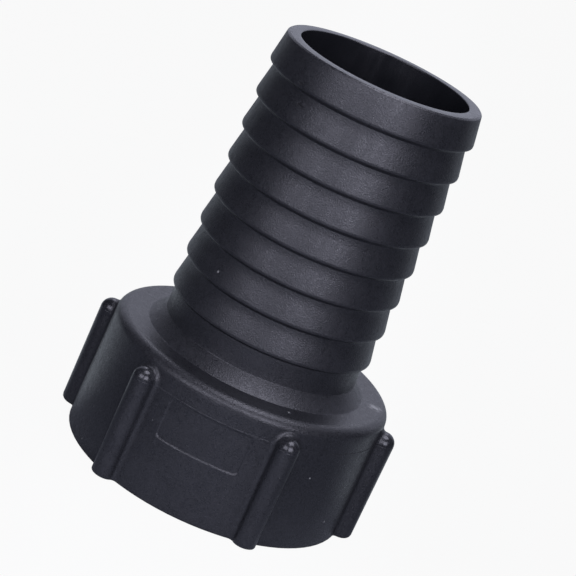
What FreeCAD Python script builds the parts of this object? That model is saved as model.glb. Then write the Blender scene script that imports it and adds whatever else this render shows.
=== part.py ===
import FreeCAD, Part
import math
import os
import Sketcher

# Hose adapter for the outlet of a bulk container: a screw cap with a coarse internal thread,
# moulded in one piece with a barbed hosetail, and the flat sealing washer inside the cap.
# The cap stands mouth down on Z = 0, and +Z runs up the hosetail along the common axis.

SIZES = [
    # the cap and its coarse buttress thread
    ("thread_diameter", 60.6, "wall between the turns of the thread"),
    ("thread_pitch", 6.0, "rise of one turn"),
    ("thread_depth", 1.8, "height of the thread ridge above the wall"),
    ("thread_crest_width", 1.1, "flat top of the ridge"),
    ("load_flank_angle", 10.0, "lean of the flank that bears, towards the roof"),
    ("entry_flank_angle", 40.0, "lean of the flank that faces the mouth"),
    ("thread_start", 1.2, "from the lead-in to the lowest flank"),
    ("cap_wall", 5.9, "wall outside the thread, at the mouth"),
    ("cap_height", 32.5, "mouth to flat top"),
    ("cap_draft", 0.8, "degrees of mould draft on the outside"),
    ("roof_thickness", 4.0, "between the washer seat and the flat top"),
    ("seat_width", 8.8, "washer seat, from the waterway to the thread wall"),
    ("shoulder_radius", 2.6, "rounding of the cap's top edge"),
    ("mouth_radius", 0.3, "rounding of the cap's bottom edge"),
    ("lead_depth", 3.0, "plain recess at the mouth"),
    ("lead_clearance", 0.7, "recess outside the thread wall"),
    ("edge_break", 0.4, "small chamfer on inner edges"),
    # the grip ribs round the cap
    ("rib_count", 6, "ribs round the cap"),
    ("rib_width", 5.6, "rib, with a half round crown"),
    ("rib_projection", 3.8, "crown outside the mouth edge"),
    ("rib_top_gap", 0.7, "from the foot of the shoulder down to the rib's domed end"),
    ("rib_root_radius", 1.0, "rounding where a rib meets the wall"),
    # the shallow panel between two ribs
    ("panel_width", 21.7, "measured round the wall"),
    ("panel_height", 10.5, "along the axis"),
    ("panel_drop", 6.5, "from the flat top down to the panel"),
    ("panel_depth", 0.25, "recess in the wall"),
    ("panel_corner", 1.0, "rounding of the panel's corners"),
    # the collar between the cap and the hosetail
    ("collar_height", 3.45, "cone on the flat top"),
    ("collar_flare", 3.3, "cone's foot outside the plain root"),
    # the hosetail
    ("tail_wall", 3.1, "waterway to neck"),
    ("root_step", 0.3, "plain root outside the neck"),
    ("root_length", 6.6, "collar to the lowest crest"),
    ("barb_count", 8, "barbs along the tail"),
    ("barb_pitch", 8.43, "crest to crest"),
    ("barb_height", 1.4, "crest outside the neck"),
    ("barb_land", 0.6, "narrow cylinder at the crest"),
    ("barb_step", 0.9, "axial length of the step under a crest"),
    ("crest_radius", 0.25, "rounding under a crest"),
    ("nose_length", 7.8, "top crest to the rim"),
    ("nose_relief", 1.25, "rim inside the crest"),
    ("rim_radius", 0.4, "rounding of the rim's outer edge"),
    ("rim_edge", 0.15, "small chamfer where the waterway meets the rim"),
    # the flat sealing washer against the roof
    ("washer_thickness", 3.0, "rubber washer"),
    ("washer_gap", 0.3, "round the washer's outer edge"),
    ("washer_bore_gap", 1.5, "washer's hole outside the waterway"),
    ("washer_thread_gap", 1.0, "from the top of the thread to the washer"),
]

# Radii and heights that follow from the sizes, as formulas of the sheet.
THREAD_R = "sizes.thread_diameter / 2"
LEAD_R = f"({THREAD_R} + sizes.lead_clearance)"
MOUTH_R = f"({THREAD_R} + sizes.cap_wall)"
TOP_R = f"({MOUTH_R} - sizes.cap_height * tan(sizes.cap_draft))"
BORE_R = f"({THREAD_R} - sizes.seat_width)"
NECK_R = f"({BORE_R} + sizes.tail_wall)"
ROOT_R = f"({NECK_R} + sizes.root_step)"
CREST_R = f"({NECK_R} + sizes.barb_height)"
RIM_R = f"({CREST_R} - sizes.nose_relief)"
COLLAR_R = f"({ROOT_R} + sizes.collar_flare)"
COLLAR_TOP = "(sizes.cap_height + sizes.collar_height)"
LOW_CREST = f"({COLLAR_TOP} + sizes.root_length)"
TOP_CREST = f"({LOW_CREST} + (sizes.barb_count - 1) * sizes.barb_pitch)"
RIM_Z = f"({TOP_CREST} + sizes.nose_length)"
ROOF_Z = "(sizes.cap_height - sizes.roof_thickness)"
WASHER_Z = f"({ROOF_Z} - sizes.washer_thickness)"
RIB_TOP = "(sizes.cap_height - sizes.shoulder_radius - sizes.rib_top_gap)"
RIB_BASE_R = f"({MOUTH_R} - sizes.cap_wall / 2)"
RIB_CENTRE_R = f"({MOUTH_R} + sizes.rib_projection - sizes.rib_width / 2)"
RIB_DOME_Z = f"({RIB_TOP} - sizes.rib_width / 2)"

TOUCH = 1e-3  # how near two lengths must be to count as the same


def make_sheet(doc):
    sheet = doc.addObject("Spreadsheet::Sheet", "sizes")
    for row, (name, value, note) in enumerate(SIZES, start=1):
        sheet.set(f"A{row}", name)
        sheet.set(f"B{row}", str(value))
        sheet.setAlias(f"B{row}", name)
        sheet.set(f"C{row}", note)
    doc.recompute()
    return sheet


def length(formula):
    value = sheet.evalExpression(formula.replace("sizes.", ""))
    return float(getattr(value, "Value", value))


def origin_feature(body, role):
    return next(item for item in body.Origin.OriginFeatures if item.Role == role)


def add_sketch(body, name, plane_role):
    sketch = body.newObject("Sketcher::SketchObject", name)
    sketch.AttachmentSupport = (origin_feature(body, plane_role), [""])
    sketch.MapMode = "FlatFace"
    return sketch


def tie(sketch, kind, geometry, point, formula, name):
    """Holds one coordinate of a point at a formula of the sheet."""
    if formula == "0":
        axis = -2 if kind == "DistanceX" else -1
        sketch.addConstraint(Sketcher.Constraint("PointOnObject", geometry, point, axis))
        return
    index = sketch.addConstraint(Sketcher.Constraint(kind, -1, 1, geometry, point, length(formula)))
    sketch.renameConstraint(index, name)
    sketch.setExpression(f"Constraints.{name}", formula)


def draw_outline(sketch, corners):
    """Closes a straight-sided outline through named corners, each held by two formulas."""
    points = [FreeCAD.Vector(length(across), length(up), 0) for _, across, up in corners]
    for start, end in zip(points, points[1:] + points[:1]):
        sketch.addGeometry(Part.LineSegment(start, end), False)
    last = len(corners) - 1
    for index, (name, across, up) in enumerate(corners):
        before = index - 1 if index else last
        sketch.addConstraint(Sketcher.Constraint("Coincident", before, 2, index, 1))
        tie(sketch, "DistanceX", index, 1, across, f"{name}_across")
        tie(sketch, "DistanceY", index, 1, up, f"{name}_up")


def revolve(body, kind, name, sketch, axis="V_Axis"):
    feature = body.newObject(kind, name)
    feature.Profile = sketch
    feature.ReferenceAxis = (sketch, [axis])
    feature.Angle = 360
    sketch.Visibility = False
    return feature


def round_edges(body, name, chosen, radius):
    """Rounds the edges of the body so far that the test picks."""
    doc.recompute()
    base = body.Tip
    names = [f"Edge{n}" for n, edge in enumerate(base.Shape.Edges, start=1) if chosen(edge)]
    feature = body.newObject("PartDesign::Fillet", name)
    feature.Base = (base, names)
    feature.setExpression("Radius", radius)
    return feature


def is_ring(edge, radius, height):
    """True for a full circle round the axis at this radius and height."""
    curve = edge.Curve
    if not isinstance(curve, Part.Circle) or not edge.isClosed():
        return False
    return abs(curve.Radius - radius) < TOUCH and abs(curve.Center.z - height) < TOUCH


def sample(edge, count=5):
    first, last = edge.ParameterRange
    return [edge.valueAt(first + (last - first) * step / (count - 1)) for step in range(count)]


def wall_radius(height):
    return length(MOUTH_R) - height * math.tan(math.radians(length("sizes.cap_draft")))


def on_rib_root(edge):
    """True for an edge where a rib's side or domed end meets the drafted wall."""
    spots = sample(edge)
    highest = max(spot.z for spot in spots)
    if highest < TOUCH or highest > length(RIB_TOP) + TOUCH:
        return False
    if all(abs(spot.y) < TOUCH for spot in spots):
        return False  # the line up the wall where its turned surface closes
    return all(abs(math.hypot(spot.x, spot.y) - wall_radius(spot.z)) < TOUCH for spot in spots)


def on_mouth_outline(edge):
    """True for an edge in the plane of the mouth."""
    return all(abs(spot.z) < TOUCH for spot in sample(edge))


def is_panel_corner(edge):
    """True for a short edge from the panel's floor out to the wall."""
    spots = sample(edge)
    high = length("sizes.cap_height") - length("sizes.panel_drop")
    low = high - length("sizes.panel_height")
    level = any(all(abs(spot.z - height) < TOUCH for spot in spots) for height in (low, high))
    return level and not isinstance(edge.Curve, Part.Circle)


def is_crest(edge):
    """True for the lower edge of a barb's land."""
    count = round(length("sizes.barb_count"))
    heights = [length(LOW_CREST) + n * length("sizes.barb_pitch") for n in range(count)]
    return any(is_ring(edge, length(CREST_R), height) for height in heights)


def make_turned_form(body):
    sketch = add_sketch(body, "turned_outline", "XZ_Plane")
    draw_outline(sketch, [
        ("axis_foot", "0", "0"),
        ("mouth", MOUTH_R, "0"),
        ("top_edge", TOP_R, "sizes.cap_height"),
        ("collar_foot", COLLAR_R, "sizes.cap_height"),
        ("collar_top", ROOT_R, COLLAR_TOP),
        ("root_top", ROOT_R, LOW_CREST),
        ("neck_foot", NECK_R, LOW_CREST),
        ("neck_top", NECK_R, f"{TOP_CREST} - sizes.barb_step"),
        ("nose_crest", CREST_R, TOP_CREST),
        ("nose_land", CREST_R, f"{TOP_CREST} + sizes.barb_land"),
        ("rim", RIM_R, RIM_Z),
        ("axis_head", "0", RIM_Z),
    ])
    revolve(body, "PartDesign::Revolution", "turned_form", sketch)


def make_barbs(body):
    """One barb above the plain root, repeated up to the nose, which is the last one."""
    sketch = add_sketch(body, "barb_outline", "XZ_Plane")
    inside = f"({NECK_R} - sizes.tail_wall / 2)"
    below = f"({LOW_CREST} - sizes.barb_step)"
    above = f"({below} + sizes.barb_pitch)"
    draw_outline(sketch, [
        ("inner_foot", inside, below),
        ("step", NECK_R, below),
        ("crest", CREST_R, LOW_CREST),
        ("land", CREST_R, f"{LOW_CREST} + sizes.barb_land"),
        ("cone_top", NECK_R, above),
        ("inner_head", inside, above),
    ])
    barb = revolve(body, "PartDesign::Revolution", "barb", sketch)
    doc.recompute()
    row = body.newObject("PartDesign::LinearPattern", "barb_row")
    row.Originals = [barb]
    row.Direction = (origin_feature(body, "Z_Axis"), [""])
    row.Mode = "Spacing"
    row.setExpression("Offset", "sizes.barb_pitch")
    row.setExpression("Occurrences", "sizes.barb_count - 1")
    body.Tip = row


def make_ribs(body):
    """An upright rib with a half round crown and a domed top, repeated round the cap."""
    upright = add_sketch(body, "rib_section", "XY_Plane")
    base, centre = length(RIB_BASE_R), length(RIB_CENTRE_R)
    half = length("sizes.rib_width") / 2
    crown = Part.Circle(FreeCAD.Vector(centre, 0, 0), FreeCAD.Vector(0, 0, 1), half)
    upright.addGeometry(Part.LineSegment(FreeCAD.Vector(base, -half, 0), FreeCAD.Vector(centre, -half, 0)))
    upright.addGeometry(Part.ArcOfCircle(crown, -math.pi / 2, math.pi / 2))
    upright.addGeometry(Part.LineSegment(FreeCAD.Vector(centre, half, 0), FreeCAD.Vector(base, half, 0)))
    upright.addGeometry(Part.LineSegment(FreeCAD.Vector(base, half, 0), FreeCAD.Vector(base, -half, 0)))
    upright.addConstraint([
        Sketcher.Constraint("Tangent", 0, 2, 1, 1),
        Sketcher.Constraint("Tangent", 1, 2, 2, 1),
        Sketcher.Constraint("Coincident", 2, 2, 3, 1),
        Sketcher.Constraint("Coincident", 3, 2, 0, 1),
        Sketcher.Constraint("Horizontal", 0),
        Sketcher.Constraint("Vertical", 3),
    ])
    tie(upright, "DistanceY", 1, 3, "0", "crown_height")
    tie(upright, "DistanceX", 1, 3, RIB_CENTRE_R, "crown_centre")
    tie(upright, "DistanceX", 0, 1, RIB_BASE_R, "rib_base")
    across = upright.addConstraint(Sketcher.Constraint("Radius", 1, half))
    upright.renameConstraint(across, "crown_radius")
    upright.setExpression("Constraints.crown_radius", "sizes.rib_width / 2")
    rib = body.newObject("PartDesign::Pad", "rib")
    rib.Profile = upright
    rib.setExpression("Length", RIB_DOME_Z)
    doc.recompute()

    half_section = add_sketch(body, "rib_dome_section", "XY_Plane")
    half_section.setExpression("AttachmentOffset.Base.z", RIB_DOME_Z)
    half_section.addGeometry(Part.LineSegment(FreeCAD.Vector(base, 0, 0), FreeCAD.Vector(base, half, 0)))
    half_section.addGeometry(Part.LineSegment(FreeCAD.Vector(base, half, 0), FreeCAD.Vector(centre, half, 0)))
    half_section.addGeometry(Part.ArcOfCircle(crown, 0, math.pi / 2))
    half_section.addGeometry(Part.LineSegment(FreeCAD.Vector(centre + half, 0, 0), FreeCAD.Vector(base, 0, 0)))
    half_section.addConstraint([
        Sketcher.Constraint("Coincident", 0, 2, 1, 1),
        Sketcher.Constraint("Tangent", 1, 2, 2, 2),
        Sketcher.Constraint("Coincident", 2, 1, 3, 1),
        Sketcher.Constraint("Coincident", 3, 2, 0, 1),
        Sketcher.Constraint("Vertical", 0),
        Sketcher.Constraint("Horizontal", 1),
        Sketcher.Constraint("Horizontal", 3),
    ])
    tie(half_section, "DistanceY", 2, 3, "0", "dome_height")
    tie(half_section, "DistanceX", 2, 3, RIB_CENTRE_R, "dome_centre")
    tie(half_section, "DistanceX", 0, 1, RIB_BASE_R, "dome_base")
    round_size = half_section.addConstraint(Sketcher.Constraint("Radius", 2, half))
    half_section.renameConstraint(round_size, "dome_radius")
    half_section.setExpression("Constraints.dome_radius", "sizes.rib_width / 2")
    dome = revolve(body, "PartDesign::Revolution", "rib_dome", half_section, "H_Axis")
    doc.recompute()

    ring = body.newObject("PartDesign::PolarPattern", "rib_ring")
    ring.Originals = [rib, dome]
    ring.Axis = (origin_feature(body, "Z_Axis"), [""])
    ring.Angle = 360
    ring.setExpression("Occurrences", "sizes.rib_count")
    body.Tip = ring


def make_hollow(body):
    """The plain lead-in, the thread's wall, the washer seat and the waterway in one cut."""
    sketch = add_sketch(body, "hollow_outline", "XZ_Plane")
    draw_outline(sketch, [
        ("axis_foot", "0", "0"),
        ("mouth_chamfer", f"{LEAD_R} + sizes.edge_break", "0"),
        ("lead_foot", LEAD_R, "sizes.edge_break"),
        ("lead_head", LEAD_R, "sizes.lead_depth - sizes.lead_clearance"),
        ("wall_foot", THREAD_R, "sizes.lead_depth"),
        ("roof_edge", THREAD_R, ROOF_Z),
        ("bore_chamfer", f"{BORE_R} + sizes.edge_break", ROOF_Z),
        ("bore_foot", BORE_R, f"{ROOF_Z} + sizes.edge_break"),
        ("bore_head", BORE_R, f"{RIM_Z} - sizes.rim_edge"),
        ("rim_chamfer", f"{BORE_R} + sizes.rim_edge", RIM_Z),
        ("axis_head", "0", RIM_Z),
    ])
    revolve(body, "PartDesign::Groove", "hollow", sketch)


def make_panel(body):
    """A shallow recess of even depth, midway between two ribs, a rib and a half clockwise of +X."""
    sketch = add_sketch(body, "panel_outline", "XZ_Plane")
    gap_turn = "1.5 * 360 / sizes.rib_count"
    clockwise = FreeCAD.Rotation(FreeCAD.Vector(0, -1, 0), length(gap_turn))
    sketch.AttachmentOffset = FreeCAD.Placement(FreeCAD.Vector(), clockwise)
    sketch.setExpression("AttachmentOffset.Rotation.Angle", gap_turn)
    high = "(sizes.cap_height - sizes.panel_drop)"
    low = f"({high} - sizes.panel_height)"
    floor_at_high = f"({MOUTH_R} - {high} * tan(sizes.cap_draft) - sizes.panel_depth)"
    floor_at_low = f"({MOUTH_R} - {low} * tan(sizes.cap_draft) - sizes.panel_depth)"
    outside = f"({MOUTH_R} + sizes.panel_depth)"
    draw_outline(sketch, [
        ("floor_low", floor_at_low, low),
        ("outer_low", outside, low),
        ("outer_high", outside, high),
        ("floor_high", floor_at_high, high),
    ])
    panel = revolve(body, "PartDesign::Groove", "panel", sketch)
    panel.Midplane = True
    panel.setExpression("Angle", f"sizes.panel_width / {MOUTH_R} * 180 / pi")


def make_thread(body):
    """Buttress ridge: its steep flank faces the roof and takes the load of the washer."""
    sketch = add_sketch(body, "thread_section", "XZ_Plane")
    sunk = "(sizes.cap_wall / 8)"
    foot_r = f"({THREAD_R} + {sunk})"
    crest_r = f"({THREAD_R} - sizes.thread_depth)"
    full = f"(sizes.thread_depth + {sunk})"
    low = "(sizes.lead_depth + sizes.thread_start)"
    crest_low = f"({low} + {full} * tan(sizes.entry_flank_angle))"
    crest_high = f"({crest_low} + sizes.thread_crest_width)"
    high = f"({crest_high} + {full} * tan(sizes.load_flank_angle))"
    draw_outline(sketch, [
        ("foot_low", foot_r, low),
        ("crest_low", crest_r, crest_low),
        ("crest_high", crest_r, crest_high),
        ("foot_high", foot_r, high),
    ])
    thread = body.newObject("PartDesign::AdditiveHelix", "thread")
    thread.Profile = sketch
    thread.ReferenceAxis = (sketch, ["V_Axis"])
    thread.Mode = "pitch-height-angle"
    thread.LeftHanded = False
    thread.setExpression("Pitch", "sizes.thread_pitch")
    thread.setExpression("Height", f"{WASHER_Z} - sizes.washer_thread_gap - {high}")
    sketch.Visibility = False


def make_washer(body):
    sketch = add_sketch(body, "washer_outline", "XZ_Plane")
    inner = f"({BORE_R} + sizes.washer_bore_gap)"
    outer = f"({THREAD_R} - sizes.washer_gap)"
    draw_outline(sketch, [
        ("inner_foot", inner, WASHER_Z),
        ("outer_foot", outer, WASHER_Z),
        ("outer_head", outer, ROOF_Z),
        ("inner_head", inner, ROOF_Z),
    ])
    revolve(body, "PartDesign::Revolution", "washer", sketch)


doc = FreeCAD.newDocument("hose_adapter")
sheet = make_sheet(doc)

adapter = doc.addObject("PartDesign::Body", "adapter_body")
make_turned_form(adapter)
round_edges(adapter, "shoulder", lambda edge: is_ring(edge, length(TOP_R), length("sizes.cap_height")),
            f"min(sizes.shoulder_radius; ({TOP_R} - {COLLAR_R}) / 2)")
round_edges(adapter, "rim", lambda edge: is_ring(edge, length(RIM_R), length(RIM_Z)),
            "min(sizes.rim_radius; sizes.tail_wall / 2)")
doc.recompute()
make_barbs(adapter)
round_edges(adapter, "crests", is_crest, "min(sizes.crest_radius; sizes.barb_land / 2)")
doc.recompute()
make_ribs(adapter)
round_edges(adapter, "rib_roots", on_rib_root, "sizes.rib_root_radius")
round_edges(adapter, "mouth_edge", on_mouth_outline, "sizes.mouth_radius")
doc.recompute()
make_hollow(adapter)
doc.recompute()
make_panel(adapter)
round_edges(adapter, "panel_corners", is_panel_corner, "sizes.panel_corner")
doc.recompute()
make_thread(adapter)
doc.recompute()

washer = doc.addObject("PartDesign::Body", "sealing_washer")
make_washer(washer)
doc.recompute()

parts = [adapter, washer]
failed = [item.Name for item in doc.Objects if "Invalid" in item.State or "Error" in item.State]
if failed:
    raise RuntimeError("not built: " + ", ".join(failed))
for part in parts:
    if part.Shape.isNull() or not part.Shape.isValid():
        raise RuntimeError(part.Label + " has no valid shape")

os.makedirs("parts", exist_ok=True)
for part in parts:
    part.Shape.exportStep(os.path.join("parts", part.Label + ".step"))
    print(part.Label, len(part.Shape.Solids), "solid", round(part.Shape.Volume / 1000, 2), "cm3")
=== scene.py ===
import math
import bmesh
import bpy
from mathutils import Matrix, Vector


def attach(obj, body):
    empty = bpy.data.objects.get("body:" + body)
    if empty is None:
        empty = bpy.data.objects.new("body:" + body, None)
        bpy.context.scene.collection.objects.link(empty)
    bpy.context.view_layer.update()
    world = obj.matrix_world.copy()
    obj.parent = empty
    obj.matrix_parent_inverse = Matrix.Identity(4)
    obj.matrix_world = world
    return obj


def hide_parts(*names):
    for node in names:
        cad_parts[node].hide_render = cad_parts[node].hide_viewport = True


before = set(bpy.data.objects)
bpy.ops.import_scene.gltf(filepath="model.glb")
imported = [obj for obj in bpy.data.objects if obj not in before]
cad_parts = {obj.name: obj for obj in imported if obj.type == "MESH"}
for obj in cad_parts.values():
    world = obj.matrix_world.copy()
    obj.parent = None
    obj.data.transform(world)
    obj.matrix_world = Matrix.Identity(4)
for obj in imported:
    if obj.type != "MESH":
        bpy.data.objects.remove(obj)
bpy.context.view_layer.update()
scene = bpy.context.scene
scene.view_settings.view_transform = "Standard"
print("frame loaded:", sorted(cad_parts))

# Shapes are drawn in millimetres and made metres when they are finished.
millimetre = 0.001
fullTurn = 2 * math.pi
sectors = 192  # steps round the axis
longestFace = 2.5  # taller faces of the turned form are cut up
near = 1e-3  # what is this close to a line or a plane lies on it
weldWithin = 2e-4
smoothUnder = 32  # degrees between faces that are shaded as one

cap = {
    "mouthRadius": 36.2,
    "height": 32.5,
    "draft": 0.8,  # degrees
    "shoulder": 2.6,
    "ring": 30.8,  # where the drawn wall meets the turned form, on the shoulder's rounding
    "mouthRounding": 0.3,
    "mouthLedge": 0.5,  # flat ring inside the rounding
    "threadRadius": 30.3,
    "leadRadius": 31.0,
    "leadTop": 2.3,
    "wallFoot": 3.0,
    "roof": 28.5,
    "edge": 0.4,
}
rib = {
    "count": 6,
    "half": 2.8,  # half its width, and the radius of its crown
    "crown": 40.0,  # from the axis
    "root": 1.0,
    "wall": 35.9,  # the wall's distance before it is fitted
    "domeBase": 26.4,
    "rows": (0, 0.023, 0.088, 0.185, 0.3, 0.6, 1.1, 3.0, 9.0, 15.0, 20.7, 26.4),
    "endRounding": 1.1,  # at the lower end of its crown
    "cornerSteps": 4,  # steps of the dome that face the gap's middle line
    "columns": (0.03, 0.1, 0.24, 0.43, 0.62, 0.81, 1.0),  # shares of the way to the middle of a gap
    "crownSteps": 8,
    "rootSteps": 4,
}
tail = {
    "bore": 21.5,
    "neck": 24.6,
    "root": 24.9,
    "crest": 26.0,
    "collarFoot": 28.2,
    "collarTop": 35.95,
    "lowCrest": 42.55,
    "pitch": 8.43,
    "barbs": 8,
    "land": 0.6,
    "step": 0.9,
    "crestRounding": 0.25,
    "nose": 7.8,
    "rimRadius": 24.75,
    "rimBreak": 0.42,
    "rimEdge": 0.15,
    "footRounding": 0.25,
    "rootRounding": 0.3,
    "neckRounding": 0.12,
    "landRounding": 0.8,
    "rimOuterRounding": 0.3,
    "rimInnerRounding": 0.25,
    "boreRounding": 0.05,
}


def wire(bm, corners):  # a line in the XZ plane through (radius, height, rounding, segments)
    verts = [bm.verts.new((corner[0], 0, corner[1])) for corner in corners]
    for pair in zip(verts, verts[1:]):
        bm.edges.new(pair)
    for vert, corner in zip(verts, corners):
        if len(corner) > 2:
            roundCorner(bm, vert, corner[2], corner[3])


def roundCorner(bm, vert, radius, segments):
    ways = [edge.other_vert(vert).co - vert.co for edge in vert.link_edges]
    reach = radius / math.tan(ways[0].angle(ways[1]) / 2)
    bmesh.ops.bevel(bm, geom=[vert], offset=reach, offset_type="OFFSET", segments=segments,
                    profile=0.5, affect="VERTICES", material=-1)


def splitLong(bm, longest):  # extra rows keep the shading even along tall faces
    for edge in list(bm.edges):
        cuts = int(edge.calc_length() / longest)
        if cuts:
            bmesh.ops.subdivide_edges(bm, edges=[edge], cuts=cuts)


def turn(bm):
    bmesh.ops.spin(bm, geom=bm.verts[:] + bm.edges[:], cent=(0, 0, 0), axis=(0, 0, 1), dvec=(0, 0, 0),
                   angle=fullTurn, steps=sectors, use_merge=True)
    weld(bm)


def weld(bm):
    bmesh.ops.remove_doubles(bm, verts=bm.verts, dist=weldWithin)


def vertsOf(result):
    return [item for item in result["geom"] if isinstance(item, bmesh.types.BMVert)]


def edgesOf(result):
    return [item for item in result["geom"] if isinstance(item, bmesh.types.BMEdge)]


def coneRadius(height):
    return cap["mouthRadius"] - height * math.tan(math.radians(cap["draft"]))


def wallRadius(height):  # the drafted wall, and above it the rounding of the shoulder
    lean, size = math.radians(cap["draft"]), cap["shoulder"]
    middle = cap["height"] - size
    above = height - middle
    if above < size * math.sin(lean):
        return coneRadius(height)
    centre = coneRadius(middle + size * math.sin(lean)) - size * math.cos(lean)
    return centre + math.sqrt(size ** 2 - above ** 2)


def shoulderCorner():  # where the tangent at the ring meets the flat top
    above = cap["ring"] - cap["height"] + cap["shoulder"]
    slope = above / math.sqrt(cap["shoulder"] ** 2 - above ** 2)
    return wallRadius(cap["ring"]) - (cap["height"] - cap["ring"]) * slope


def turnedLine():  # up the outside from the shoulder, over the rim, and down the inside to the mouth
    low, step, rise = tail["lowCrest"], tail["step"], tail["crest"] - tail["neck"]
    rim = low + (tail["barbs"] - 1) * tail["pitch"] + tail["nose"]
    noseSlope = (tail["crest"] - tail["rimRadius"]) / (tail["nose"] - tail["land"])
    line = [
        (wallRadius(cap["ring"]), cap["ring"]),
        (shoulderCorner(), cap["height"], cap["shoulder"], 7),
        (tail["collarFoot"], cap["height"], tail["footRounding"], 3),
        (tail["root"], tail["collarTop"], tail["rootRounding"], 3),
        (tail["root"], low - step + step * (tail["root"] - tail["neck"]) / rise),
    ]
    for number in range(tail["barbs"]):
        crest = low + number * tail["pitch"]
        if number:
            line.append((tail["neck"], crest - step, tail["neckRounding"], 2))
        line.append((tail["crest"], crest, tail["crestRounding"], 3))
        line.append((tail["crest"], crest + tail["land"], tail["landRounding"], 2))
    return line + [
        (tail["rimRadius"] + tail["rimBreak"] * noseSlope, rim - tail["rimBreak"], tail["rimOuterRounding"], 3),
        (tail["rimRadius"] - tail["rimBreak"], rim, tail["rimInnerRounding"], 3),
        (tail["bore"] + tail["rimEdge"], rim, tail["boreRounding"], 2),
        (tail["bore"], rim - tail["rimEdge"], tail["boreRounding"], 2),
        (tail["bore"], rim - 3 * tail["rimEdge"]),
        (tail["bore"], cap["roof"] + cap["edge"]),
        (tail["bore"] + cap["edge"], cap["roof"]),
        (cap["threadRadius"], cap["roof"]),
        (cap["threadRadius"], cap["wallFoot"]),
        (cap["leadRadius"], cap["leadTop"]),
        (cap["leadRadius"], cap["edge"]),
        (cap["leadRadius"] + cap["edge"], 0),
    ]


def halfRib(bm):  # half a rib on +X: its section is drawn up the wall and turned over for the dome
    half, root = rib["half"], rib["root"]
    wire(bm, [
        (rib["crown"], 0),
        (rib["crown"], half, half, rib["crownSteps"]),
        (rib["wall"], half, root, rib["rootSteps"]),
        (rib["wall"], half + root),
    ])
    bmesh.ops.rotate(bm, verts=bm.verts, cent=(0, 0, 0), matrix=Matrix.Rotation(-math.pi / 2, 3, "X"))
    weld(bm)
    edges = bm.edges[:]
    for lower, upper in zip(rib["rows"], rib["rows"][1:]):
        result = bmesh.ops.extrude_edge_only(bm, edges=edges)
        bmesh.ops.translate(bm, verts=vertsOf(result), vec=(0, 0, upper - lower))
        edges = edgesOf(result)
        edges = [edge for edge in edges if all(abs(vert.co.z - upper) < near for vert in edge.verts)]
    steps = rib["cornerSteps"] + sectors // rib["count"] // 2
    bmesh.ops.spin(bm, geom=edges + list(dict.fromkeys(vert for edge in edges for vert in edge.verts)),
                   cent=(0, 0, rib["domeBase"]), axis=(1, 0, 0), dvec=(0, 0, 0),
                   angle=math.pi / 2, steps=steps)
    weld(bm)
    return steps


def reachFromMiddle(point):  # from the rib's middle line, which ends at the dome's centre
    return math.hypot(point.y, max(0, point.z - rib["domeBase"]))


def wallColumns(bm, domeSteps):  # the wall, drawn from the rib's foot to the middle of the gap
    rows, step = rib["rows"], math.pi / 2 / domeSteps
    middle = math.pi / rib["count"]
    borders = [(middle, height) for height in rows]
    lift = (cap["ring"] - rows[-1]) / rib["cornerSteps"]
    borders += [(middle, rows[-1] + lift * number) for number in range(1, rib["cornerSteps"] + 1)]
    across = domeSteps - rib["cornerSteps"]
    borders += [(middle * (1 - number / across), cap["ring"]) for number in range(1, across + 1)]

    row = bm.verts.layers.int.new("row")
    foot = rib["half"] + rib["root"]
    chain = []
    for vert in bm.verts:
        if abs(vert.co.x - rib["wall"]) > near or abs(reachFromMiddle(vert.co) - foot) > near:
            continue
        if vert.co.z > rows[-1] + near:
            vert[row] = len(rows) - 1 + round(math.atan2(vert.co.z - rows[-1], vert.co.y) / step)
        else:
            vert[row] = min(range(len(rows)), key=lambda number: abs(rows[number] - vert.co.z))
        chain.append(vert)
    for vert in bm.verts:  # the root's rounding is fitted to the round, drafted wall
        if vert.co.x < rib["wall"] + rib["root"] + near:
            vert.co.x += math.sqrt(wallRadius(vert.co.z) ** 2 - vert.co.y ** 2) - rib["wall"]
    feet = {vert[row]: (math.atan2(vert.co.y, vert.co.x), vert.co.z) for vert in chain}
    chosen = set(chain)
    edges = [edge for edge in bm.edges if all(vert in chosen for vert in edge.verts)]
    for share in rib["columns"]:
        result = bmesh.ops.extrude_edge_only(bm, edges=edges)
        verts = vertsOf(result)
        for vert in verts:
            start, end = feet[vert[row]], borders[vert[row]]
            angle = start[0] + share * (end[0] - start[0])
            height = start[1] + share * (end[1] - start[1])
            vert.co = (wallRadius(height) * math.cos(angle), wallRadius(height) * math.sin(angle), height)
        chosen = set(verts)
        edges = [edge for edge in edgesOf(result) if all(vert in chosen for vert in edge.verts)]


def outwardFrom(vert):  # level, and square to the outline
    if abs(vert.co.y) < near:  # on the rib's middle plane
        return Vector((1, 0, 0))
    if vert.co.xy.length < wallRadius(vert.co.z) + near:  # on the round wall
        return Vector((vert.co.x, vert.co.y, 0)).normalized()
    flat = Vector((vert.normal.x, vert.normal.y, 0)).normalized()
    return flat if flat.dot(vert.co) > 0 else -flat


def roundMouth(bm):  # the outline's lower edge, rounded most over the crown, and a flat ring inside it
    bmesh.ops.recalc_face_normals(bm, faces=bm.faces)
    bm.normal_update()
    outward, inset = {}, {}
    for vert in bm.verts:
        proud = max(vert.co.x - rib["crown"] + rib["half"], 0) / rib["half"]
        radius = cap["mouthRounding"] + (rib["endRounding"] - cap["mouthRounding"]) * proud
        if vert.co.z < radius:
            outward[vert] = outwardFrom(vert)
            inset[vert] = radius - math.sqrt(max(radius ** 2 - (radius - vert.co.z) ** 2, 0))
    foot = {}
    for vert, way in outward.items():
        vert.co -= way * inset[vert]
        foot[vert.co.to_tuple(4)] = way
    edges = [edge for edge in bm.edges if all(abs(vert.co.z) < near for vert in edge.verts)]
    result = bmesh.ops.extrude_edge_only(bm, edges=edges)
    for vert in vertsOf(result):
        vert.co -= foot[vert.co.to_tuple(4)] * cap["mouthLedge"]


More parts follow.
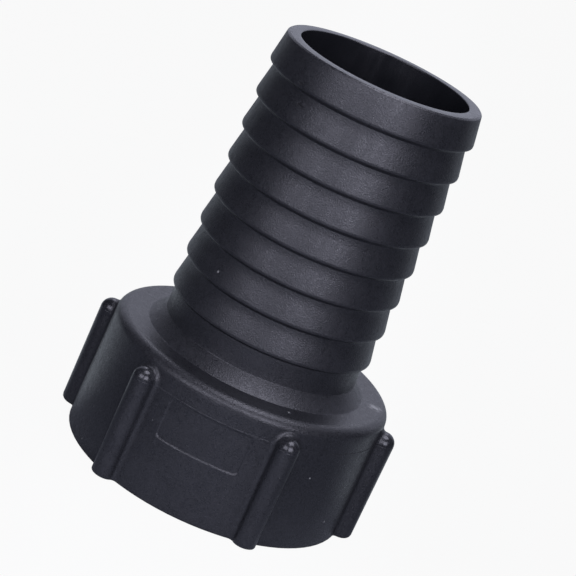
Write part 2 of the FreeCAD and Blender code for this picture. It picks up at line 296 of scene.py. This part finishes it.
def ribbedWall():
    bm = bmesh.new()
    wallColumns(bm, halfRib(bm))
    roundMouth(bm)
    bmesh.ops.mirror(bm, geom=bm.verts[:] + bm.edges[:] + bm.faces[:], merge_dist=near, axis="Y")
    bmesh.ops.spin(bm, geom=bm.verts[:] + bm.edges[:] + bm.faces[:], cent=(0, 0, 0), axis=(0, 0, 1),
                   dvec=(0, 0, 0), angle=fullTurn * (rib["count"] - 1) / rib["count"],
                   steps=rib["count"] - 1, use_duplicate=True)
    weld(bm)
    return bm


def meshFrom(bm, name):
    mesh = bpy.data.meshes.new(name)
    bm.to_mesh(mesh)
    bm.free()
    return mesh


def joined(*parts):
    bm = bmesh.new()
    for part in parts:
        mesh = meshFrom(part, "part")
        bm.from_mesh(mesh)
        bpy.data.meshes.remove(mesh)
    weld(bm)
    return bm


def closeMouth(bm):
    edges = [edge for edge in bm.edges if edge.is_boundary]
    bmesh.ops.bridge_loops(bm, edges=edges)
    bmesh.ops.recalc_face_normals(bm, faces=bm.faces)


panel = {
    "low": 15.5,
    "high": 26.0,
    "width": 21.7,
    "azimuth": -90,  # degrees
    "slope": 0.35,  # width of its sloping edge
    "depth": 0.25,
    "corner": 1.0,
    "lowRow": 15.0,  # the faces between these heights are cut finer
    "highRow": 26.4,
    "halfAngle": 18.4,
    "outsideRadius": 33.0,  # nearer faces belong to the inside
    "cuts": 27,
}


def panelDepth(along, height):  # zero outside the rounded rectangle, full past its sloping edge
    corner = panel["corner"]
    middle = (panel["low"] + panel["high"]) / 2
    across = abs(along) - panel["width"] / 2 + corner
    upward = abs(height - middle) - (panel["high"] - panel["low"]) / 2 + corner
    inside = corner - math.hypot(max(across, 0), max(upward, 0)) - min(max(across, upward), 0)
    share = min(max(inside / panel["slope"], 0), 1)
    return panel["depth"] * share * share * (3 - 2 * share)


def sinkPanel(bm):
    turned = Matrix.Rotation(math.radians(-panel["azimuth"]), 3, "Z")
    faces = []
    for face in bm.faces:
        centre = turned @ face.calc_center_median()
        angle = math.degrees(math.atan2(centre.y, centre.x))
        outside = centre.xy.length > panel["outsideRadius"]
        if outside and abs(angle) < panel["halfAngle"] and panel["lowRow"] < centre.z < panel["highRow"]:
            faces.append(face)
    edges = list(dict.fromkeys(edge for face in faces for edge in face.edges))
    result = bmesh.ops.subdivide_edges(bm, edges=edges, cuts=panel["cuts"], use_grid_fill=True)
    finer = [item for item in result["geom"] if isinstance(item, bmesh.types.BMFace)]
    for vert in {vert for face in finer for vert in face.verts}:
        spot = turned @ vert.co
        angle = math.atan2(spot.y, spot.x)
        radius = wallRadius(spot.z) - panelDepth(angle * cap["mouthRadius"], spot.z)
        vert.co *= Vector((radius / spot.xy.length, radius / spot.xy.length, 1))


thread = {
    "pitch": 6.0,
    "foot": 4.2,
    "depth": 1.8,
    "sunk": 0.7375,  # how far its root goes into the wall
    "crestWidth": 1.1,
    "crestRounding": 0.2,
    "loadFlank": 10,  # degrees
    "entryFlank": 40,
    "top": 24.5,
    "stepsPerTurn": 72,
}


def threadRidge():
    full = thread["depth"] + thread["sunk"]
    outer = cap["threadRadius"] + thread["sunk"]
    crest = cap["threadRadius"] - thread["depth"]
    crestLow = thread["foot"] + full * math.tan(math.radians(thread["entryFlank"]))
    crestHigh = crestLow + thread["crestWidth"]
    high = crestHigh + full * math.tan(math.radians(thread["loadFlank"]))
    turns = (thread["top"] - high) / thread["pitch"]
    steps = round(turns * thread["stepsPerTurn"])
    bm = bmesh.new()
    wire(bm, [(outer, thread["foot"]), (crest, crestLow, thread["crestRounding"], 2),
              (crest, crestHigh, thread["crestRounding"], 2), (outer, high), (outer, thread["foot"])])
    weld(bm)
    bmesh.ops.spin(bm, geom=bm.verts[:] + bm.edges[:], cent=(0, 0, 0), axis=(0, 0, 1),
                   dvec=(0, 0, turns * thread["pitch"] / steps), angle=turns * fullTurn, steps=steps)
    weld(bm)
    bmesh.ops.holes_fill(bm, edges=bm.edges, sides=0)
    bmesh.ops.recalc_face_normals(bm, faces=bm.faces)
    return bm


def finishPiece(bm, name, finish):
    bmesh.ops.recalc_face_normals(bm, faces=bm.faces)
    for face in bm.faces:
        face.smooth = True
    for edge in bm.edges:
        edge.smooth = edge.is_manifold and edge.calc_face_angle() < math.radians(smoothUnder)
    bmesh.ops.scale(bm, vec=(millimetre,) * 3, verts=bm.verts)
    mesh = meshFrom(bm, name)
    mesh.materials.append(finish)
    piece = bpy.data.objects.new(name, mesh)
    scene.collection.objects.link(piece)
    print(name, "faces", len(mesh.polygons))
    return piece


washer = {"inner": 23.0, "outer": 30.0, "low": 25.5, "high": 28.5, "rounding": 0.2}


def washerRing():
    bm = bmesh.new()
    low, high, soft = washer["low"], washer["high"], washer["rounding"]
    wire(bm, [(washer["outer"], (low + high) / 2), (washer["outer"], high, soft, 3),
              (washer["inner"], high, soft, 3), (washer["inner"], low, soft, 3),
              (washer["outer"], low, soft, 3), (washer["outer"], (low + high) / 2)])
    weld(bm)
    turn(bm)
    return bm


def united(first, second):  # two closed solids made into one
    pieces = []
    for part in (first, second):
        item = bpy.data.objects.new("part", meshFrom(part, "part"))
        scene.collection.objects.link(item)
        pieces.append(item)
    union = pieces[0].modifiers.new("union", "BOOLEAN")
    union.operation = "UNION"
    union.solver = "EXACT"
    union.object = pieces[1]
    bm = bmesh.new()
    bm.from_object(pieces[0], bpy.context.evaluated_depsgraph_get())
    for item in pieces:
        mesh = item.data
        bpy.data.objects.remove(item)
        bpy.data.meshes.remove(mesh)
    weld(bm)
    print("united, open edges", sum(not edge.is_manifold for edge in bm.edges))
    return bm


def moulding():
    turned = bmesh.new()
    wire(turned, turnedLine())
    splitLong(turned, longestFace)
    turn(turned)
    bm = joined(turned, ribbedWall())
    closeMouth(bm)
    sinkPanel(bm)
    print("moulding, open edges", sum(not edge.is_manifold for edge in bm.edges))
    return bm


class Value:  # a node's output, with the operators that the finishes use
    def __init__(self, finish, socket):
        self.finish = finish
        self.socket = socket

    def __getitem__(self, name):  # another output of the same node
        return Value(self.finish, self.socket.node.outputs[name])

    def math(self, operation, first, second):
        return self.finish.node("ShaderNodeMath", {"operation": operation}, {0: first, 1: second})

    def __add__(self, other):
        return self.math("ADD", self, other)

    def __radd__(self, other):
        return self.math("ADD", other, self)

    def __sub__(self, other):
        return self.math("SUBTRACT", self, other)

    def __rsub__(self, other):
        return self.math("SUBTRACT", other, self)

    def __mul__(self, other):
        return self.math("MULTIPLY", self, other)

    def __rmul__(self, other):
        return self.math("MULTIPLY", other, self)

    def __pow__(self, other):
        return self.math("POWER", self, other)


class Finish:  # a material or the world, and the nodes in front of its shader
    def __init__(self, holder, constants=None):
        holder.use_nodes = True
        self.holder = holder
        self.tree = holder.node_tree
        self.shader = self.tree.nodes.get("Principled BSDF")
        for socket, value in (constants or {}).items():
            self.shader.inputs[socket].default_value = value

    def node(self, kind, settings=None, values=None):
        made = self.tree.nodes.new(kind)
        for name, value in (settings or {}).items():
            setattr(made, name, value)
        for name, value in (values or {}).items():
            self.feed(made.inputs[name], value)
        return Value(self, next(socket for socket in made.outputs if socket.enabled))

    def feed(self, socket, value):
        if isinstance(value, Value):
            self.tree.links.new(value.socket, socket)
        else:
            socket.default_value = value

    def place(self, stretch=(1, 1, 1)):  # where a point of the piece is, in millimetres
        scale = tuple(side / millimetre for side in stretch)
        return self.node("ShaderNodeVectorMath", {"operation": "MULTIPLY"},
                         {0: self.node("ShaderNodeTexCoord")["Object"], 1: scale})

    def noise(self, size, detail=2.0, stretch=(1, 1, 1)):  # blotches of this size in millimetres
        return self.node("ShaderNodeTexNoise", {},
                         {"Vector": self.place(stretch), "Scale": 1 / size, "Detail": detail})

    def rise(self, value, start, end):  # 0 below start, 1 above end
        return self.node("ShaderNodeMapRange", {"interpolation_type": "SMOOTHSTEP"},
                         {"Value": value, "From Min": start, "From Max": end})

    def unsigned(self, value):
        return self.node("ShaderNodeMath", {"operation": "ABSOLUTE"}, {0: value})

    def along(self, place, direction):  # how far a place lies in this direction
        return self.node("ShaderNodeVectorMath", {"operation": "DOT_PRODUCT"}, {0: place, 1: direction})["Value"]

    def line(self, value, middle, half):  # 1 in the middle of a thin line, 0 outside it
        return 1 - self.rise(self.unsigned(value - middle), 0.0, half)

    def mark(self, spot, size, flatness=1, core=0.3):  # 1 in the core of a small mark, 0 at its edge
        centre = (spot[0], spot[1], spot[2] * flatness)
        away = self.node("ShaderNodeVectorMath", {"operation": "DISTANCE"},
                         {0: self.place((1, 1, flatness)), 1: centre})["Value"]
        return 1 - self.rise(away, size * core, size)

    def blend(self, share, first, second):  # from one colour to another
        return self.node("ShaderNodeMix", {"data_type": "RGBA"}, {0: share, 6: first, 7: second})

    def bump(self, height):  # height in millimetres
        return self.node("ShaderNodeBump", {}, {"Height": height, "Distance": millimetre})


plastic = {  # lengths in millimetres
    "ior": 1.49,
    "specular": 0.56,
    "sheen": (0.92, 0.915, 1.0, 1),
    "dark": (0.0060, 0.0063, 0.0080, 1),
    "light": (0.0210, 0.0215, 0.0260, 1),
    "dust": (0.30, 0.30, 0.31, 1),
    "scratch": (0.003, 0.003, 0.004, 1),
    "capRoughness": 0.36,
    "tailRoughness": 0.38,
    "domeRoughness": 0.24,
    "rimRoughness": 0.25,
    "boreRoughness": 0.20,
    "scratchRoughness": 0.5,  # added to the rest
    # Heights and radii between which one finish turns into the next.
    "tailHeight": (32.6, 33.4),
    "rimHeight": (108.8, 109.2),
    "boreHeight": (33, 40),
    "domeHeight": (24.5, 27.5),
    "outsideRadius": (23.5, 24),
    "domeRadius": (36.6, 37.4),
    # What varies over the surface: its size, and how much it changes.
    "cloudSize": 6.0,
    "cloudShare": 0.4,
    "roughnessChange": 0.10,
    "fleckSize": 0.40,
    "fleckEdge": (0.35, 0.65),
    "fleckShare": 0.6,
    "mottleSize": 1.3,
    "mottleChange": 0.25,
    "streakSize": 1.6,
    "streakStretch": (1, 1, 0.08),
    "streakChange": 0.20,
    "sparkleSize": 0.22,
    "sparkleChange": 0.70,
    "grainSize": 0.34,
    "capGrain": 0.085,
    "tailGrain": 0.085,
    # Lines and marks.
    "partingHeight": 26.35,
    "partingHalf": 0.14,
    "partingRadius": (34, 34.5),
    "partingDepth": -0.025,  # below the surface
    "partingDark": (23, 30),  # along X, where the line is painted darker, as shade in its groove
    "seamHalf": 0.16,
    "seamHeight": 0.06,
    "scratchFlatness": 2.5,
    "scratchDepth": 0.1,
    "dustSpacing": 4.0,
    "dustFew": 6.0,  # a higher power leaves fewer specks
    "speckRadius": 0.05,  # as a share of the spacing
    "dustHeight": 0.1,
    "scuffSize": 1.6,
    "scuffEdge": (0.35, 0.6),
    "scuffShare": 0.6,
}
chips = (((14.9, -26.7, 32.5), 0.45), ((-14.1, -21.0, 53.8), 0.5), ((4.4, -28.5, 34.5), 0.3),
         ((25.8, -25.1, 19.5), 0.3), ((32.9, -14.7, 7.0), 0.35), ((-27.4, -23.3, 2.0), 0.35))
scratches = (((-14.3, -21.5, 102.5), 1.0), ((-12.1, -22.1, 97.9), 0.9), ((-12.9, -21.6, 98.0), 0.8))
shoulderScuff = ((31.8, 2.9, 32.5), 2.6)


def paleMarks(finish, outside):  # scattered dust, the chips and the scuff on the shoulder
    dust = finish.node("ShaderNodeTexVoronoi", {},
                       {"Vector": finish.place(), "Scale": 1 / plastic["dustSpacing"]})
    speckSize = finish.node("ShaderNodeSeparateColor", {}, {"Color": dust["Color"]})["Red"] ** plastic["dustFew"]
    share = 1 - finish.rise(dust, 0.0, plastic["speckRadius"])
    share = share * speckSize * outside
    for middle, size in chips:
        share = share + finish.mark(middle, size)
    rubbed = finish.rise(finish.noise(plastic["scuffSize"], detail=3.0), *plastic["scuffEdge"])
    return share + finish.mark(*shoulderScuff) * rubbed * plastic["scuffShare"]


def mouldedPlastic():
    finish = Finish(bpy.data.materials.new("mouldedPlastic"), {
        "IOR": plastic["ior"], "Specular IOR Level": plastic["specular"], "Specular Tint": plastic["sheen"]})
    spot = finish.node("ShaderNodeSeparateXYZ", {}, {"Vector": finish.place()})
    x, y, z = spot["X"], spot["Y"], spot["Z"]
    radius = (x * x + y * y) ** 0.5
    tailShare = finish.rise(z, *plastic["tailHeight"])
    rimShare = finish.rise(z, *plastic["rimHeight"])
    outside = finish.rise(radius, *plastic["outsideRadius"])
    boreShare = (1 - outside) * finish.rise(z, *plastic["boreHeight"])
    domeShare = finish.rise(radius, *plastic["domeRadius"]) * finish.rise(z, *plastic["domeHeight"])

    cloud = finish.noise(plastic["cloudSize"])
    fleck = finish.rise(finish.noise(plastic["fleckSize"], detail=3.0), *plastic["fleckEdge"]) * outside
    mottle = (finish.noise(plastic["mottleSize"], detail=4.0) - 0.5) * outside
    streak = finish.noise(plastic["streakSize"], detail=3.0, stretch=plastic["streakStretch"]) - 0.5
    sparkle = (finish.noise(plastic["sparkleSize"]) - 0.5) * outside
    grain = finish.noise(plastic["grainSize"], detail=5.0) - 0.5
    grainHeight = plastic["capGrain"] + (plastic["tailGrain"] - plastic["capGrain"]) * tailShare
    grainHeight = grainHeight * (1 - domeShare) * outside
    parting = finish.line(z, plastic["partingHeight"], plastic["partingHalf"])
    parting = parting * finish.rise(radius, *plastic["partingRadius"])
    seam = finish.line(y, 0.0, plastic["seamHalf"]) * tailShare * outside
    # painted shade: past partingDark the parting line's groove is coloured dark; the scratches added to it are
    # real marks
    scratch = parting * finish.rise(x, *plastic["partingDark"])
    for middle, size in scratches:
        scratch = scratch + finish.mark(middle, size, plastic["scratchFlatness"])
    pale = paleMarks(finish, outside)

    mixed = cloud * plastic["cloudShare"] + fleck * plastic["fleckShare"]
    colour = finish.blend(mixed, plastic["dark"], plastic["light"])
    # the dark colour holds the painted shade along the parting line and the real scratches
    colour = finish.blend(scratch, colour, plastic["scratch"])
    finish.feed(finish.shader.inputs["Base Color"], finish.blend(pale, colour, plastic["dust"]))
    rough = plastic["capRoughness"] + (plastic["tailRoughness"] - plastic["capRoughness"]) * tailShare
    rough = rough + (plastic["domeRoughness"] - plastic["capRoughness"]) * domeShare
    rough = rough + (plastic["rimRoughness"] - plastic["tailRoughness"]) * rimShare
    rough = rough + (plastic["boreRoughness"] - plastic["tailRoughness"]) * boreShare * (1 - rimShare)
    rough = rough + (cloud - 0.5) * plastic["roughnessChange"] + mottle * plastic["mottleChange"]
    rough = rough + streak * plastic["streakChange"] * tailShare + sparkle * plastic["sparkleChange"]
    finish.feed(finish.shader.inputs["Roughness"], rough + scratch * plastic["scratchRoughness"])
    height = grain * grainHeight + parting * plastic["partingDepth"] + seam * plastic["seamHeight"]
    height = height + pale * plastic["dustHeight"] - scratch * plastic["scratchDepth"]
    finish.feed(finish.shader.inputs["Normal"], finish.bump(height))
    return finish.holder


rubber = {
    "ior": 1.5,
    "specular": 0.4,
    "dark": (0.012, 0.012, 0.013, 1),
    "light": (0.020, 0.020, 0.021, 1),
    "roughness": 0.68,
    "roughnessChange": 0.2,
    "cloudSize": 3.0,
    "grainSize": 0.35,
    "grainHeight": 0.02,
}


def blackRubber():
    finish = Finish(bpy.data.materials.new("blackRubber"), {
        "IOR": rubber["ior"], "Specular IOR Level": rubber["specular"]})
    cloud = finish.noise(rubber["cloudSize"], detail=3.0)
    grain = finish.noise(rubber["grainSize"], detail=3.0)
    finish.feed(finish.shader.inputs["Base Color"], finish.blend(cloud, rubber["dark"], rubber["light"]))
    rough = rubber["roughness"] + (cloud - 0.5) * rubber["roughnessChange"]
    finish.feed(finish.shader.inputs["Roughness"], rough)
    finish.feed(finish.shader.inputs["Normal"], finish.bump(grain * rubber["grainHeight"]))
    return finish.holder


stage = {
    "floorHalf": 4,  # metres
    "floorColour": (0.36, 0.38, 0.42, 1),
    # painted shade: the floor's colour away from the middle, darker so the part's sides mirror less light
    "sideColour": (0.12, 0.128, 0.145, 1),
    "sideways": (0.996, 0.087, 0),
    "sideEdge": (16, 64),  # millimetres from the middle, where painted shade darkens the floor
    "white": (1, 1, 1, 1),
    "glowShare": 0.94,  # how white the camera sees the floor
    # A strip of floor behind the part glows for glossy rays only, as a painted reflection in the part, and it
    # widens as it goes back.
    "mirrorShare": 0.58,
    "mirrorColour": (0.82, 0.90, 1.0, 1),
    "floorBehind": (-0.12, 0.993, 0),
    "floorEdge": (-5, 20),
    "stripEdge": (30, 110),
    "farEdge": (70, 220),
    "farLoss": 0.4,
    # The world: dim all round, and bright in the direction behind.
    "worldColour": (0.80, 0.83, 1.0, 1),
    "sideStrength": 0.06,
    "backStrength": 0.71,
    "behind": (-0.079, 0.903, 0.423),
    "backEdge": (0.62, 0.86),
}


def whiteFloor():  # nearly white to the camera, and it keeps the soft shadow of the object
    bm = bmesh.new()
    bmesh.ops.create_grid(bm, x_segments=1, y_segments=1, size=stage["floorHalf"])
    mesh = meshFrom(bm, "floor")
    floor = bpy.data.objects.new("floor", mesh)
    scene.collection.objects.link(floor)
    finish = Finish(bpy.data.materials.new("paleFloor"))
    aside = finish.unsigned(finish.along(finish.place(), stage["sideways"]))
    # painted shade: the floor turns darker towards the sides
    shade = finish.blend(finish.rise(aside, *stage["sideEdge"]), stage["floorColour"], stage["sideColour"])
    matt = finish.node("ShaderNodeBsdfDiffuse", {}, {"Color": shade})
    path = finish.node("ShaderNodeLightPath")
    # the glow is plain white to the camera, and the colour of the painted reflection to glossy rays
    white = finish.blend(path["Is Camera Ray"], stage["mirrorColour"], stage["white"])
    glow = finish.node("ShaderNodeEmission", {}, {"Color": white, "Strength": 1.0})
    away = finish.along(finish.place(), stage["floorBehind"])
    # painted reflection: a glowing strip of floor behind the part, seen only in its reflections
    reflectionStrip = finish.rise(away, *stage["floorEdge"]) * (1 - finish.rise(aside - away, *stage["stripEdge"]))
    reflectionStrip = reflectionStrip * (1 - finish.rise(away, *stage["farEdge"]) * stage["farLoss"])
    paintedReflection = path["Is Glossy Ray"] * reflectionStrip
    share = path["Is Camera Ray"] * stage["glowShare"] + paintedReflection * stage["mirrorShare"]
    mixed = finish.node("ShaderNodeMixShader", {}, {0: share, 1: matt, 2: glow})
    finish.feed(finish.tree.nodes["Material Output"].inputs["Surface"], mixed)
    finish.tree.nodes.remove(finish.shader)
    mesh.materials.append(finish.holder)


lampColour = (0.88, 0.88, 0.98)
lampAim = (0, 0, 0.055)
lamps = {  # azimuth and elevation in degrees, the rest in metres and watts
    "leftSoftbox": {"azimuth": -112, "elevation": 19, "distance": 0.8, "width": 0.55, "depth": 0.45, "power": 3.0},
    "rightSoftbox": {"azimuth": -60, "elevation": 19, "distance": 0.8, "width": 0.55, "depth": 0.45, "power": 4.0},
    "topSoftbox": {"azimuth": -45, "elevation": 77, "distance": 0.7, "width": 0.50, "depth": 0.40, "power": 3.3},
    "backSoftbox": {"azimuth": 100, "elevation": 50, "distance": 0.8, "width": 0.50, "depth": 0.30, "power": 1.3},
}


def softLight(name, azimuth, elevation, distance, width, depth, power):
    data = bpy.data.lights.new(name, "AREA")
    data.shape = "RECTANGLE"
    data.size = width
    data.size_y = depth
    data.energy = power
    data.color = lampColour
    aim = Matrix.Rotation(math.radians(azimuth), 3, "Z") @ Matrix.Rotation(math.radians(-elevation), 3, "Y")
    toLight = aim @ Vector((1, 0, 0))
    lamp = bpy.data.objects.new(name, data)
    lamp.location = Vector(lampAim) + toLight * distance
    lamp.rotation_euler = toLight.to_track_quat("Z", "Y").to_euler()
    scene.collection.objects.link(lamp)


def surroundings():  # a bright back wall and darker sides, and plain white where a camera looks at it
    scene.world = bpy.data.worlds.new("surroundings")
    finish = Finish(scene.world)
    way = finish.node("ShaderNodeTexCoord")["Generated"]
    behind = finish.along(way, stage["behind"])
    strength = stage["sideStrength"] + stage["backStrength"] * finish.rise(behind, *stage["backEdge"])
    soft = finish.node("ShaderNodeBackground", {}, {"Color": stage["worldColour"], "Strength": strength})
    plain = finish.node("ShaderNodeBackground", {}, {"Color": stage["white"], "Strength": 1.0})
    seen = finish.node("ShaderNodeLightPath")["Is Camera Ray"]
    mixed = finish.node("ShaderNodeMixShader", {}, {0: seen, 1: soft, 2: plain})
    finish.feed(finish.tree.nodes["World Output"].inputs["Surface"], mixed)


camera = {  # places in metres, roll in degrees, lens and sensor in millimetres
    "position": (0.0422, -0.4826, 0.2004),
    "target": (0.00033, 0.00003, 0.05119),
    "roll": 24.61,
    "lens": 131.19,
    "sensor": 36,
}


def makeCamera():
    data = bpy.data.cameras.new("camera")
    data.lens = camera["lens"]
    data.sensor_width = camera["sensor"]
    item = bpy.data.objects.new("camera", data)
    scene.collection.objects.link(item)
    position = Vector(camera["position"])
    ahead = (Vector(camera["target"]) - position).normalized()
    right = ahead.cross(Vector((0, 0, 1))).normalized()
    up = right.cross(ahead)
    roll = math.radians(camera["roll"])
    across = right * math.cos(roll) + up * math.sin(roll)
    upward = up * math.cos(roll) - right * math.sin(roll)
    rotation = Matrix((across, upward, -ahead)).transposed()
    item.matrix_world = Matrix.Translation(position) @ rotation.to_4x4()
    scene.camera = item


makeCamera()
plasticFinish = mouldedPlastic()
rubberFinish = blackRubber()
print("finishes made")
body = finishPiece(united(moulding(), threadRidge()), "mouldedAdapter", plasticFinish)
ring = finishPiece(washerRing(), "rubberWasher", rubberFinish)
for piece, node, slot in ((body, "adapter_body", "body_plastic"), (ring, "sealing_washer", "washer_rubber")):
    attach(piece, "root")
    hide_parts(node)
whiteFloor()
surroundings()
for name, lamp in lamps.items():
    softLight(name, **lamp)
print("floor and lights made")

bpy.context.view_layer.update()
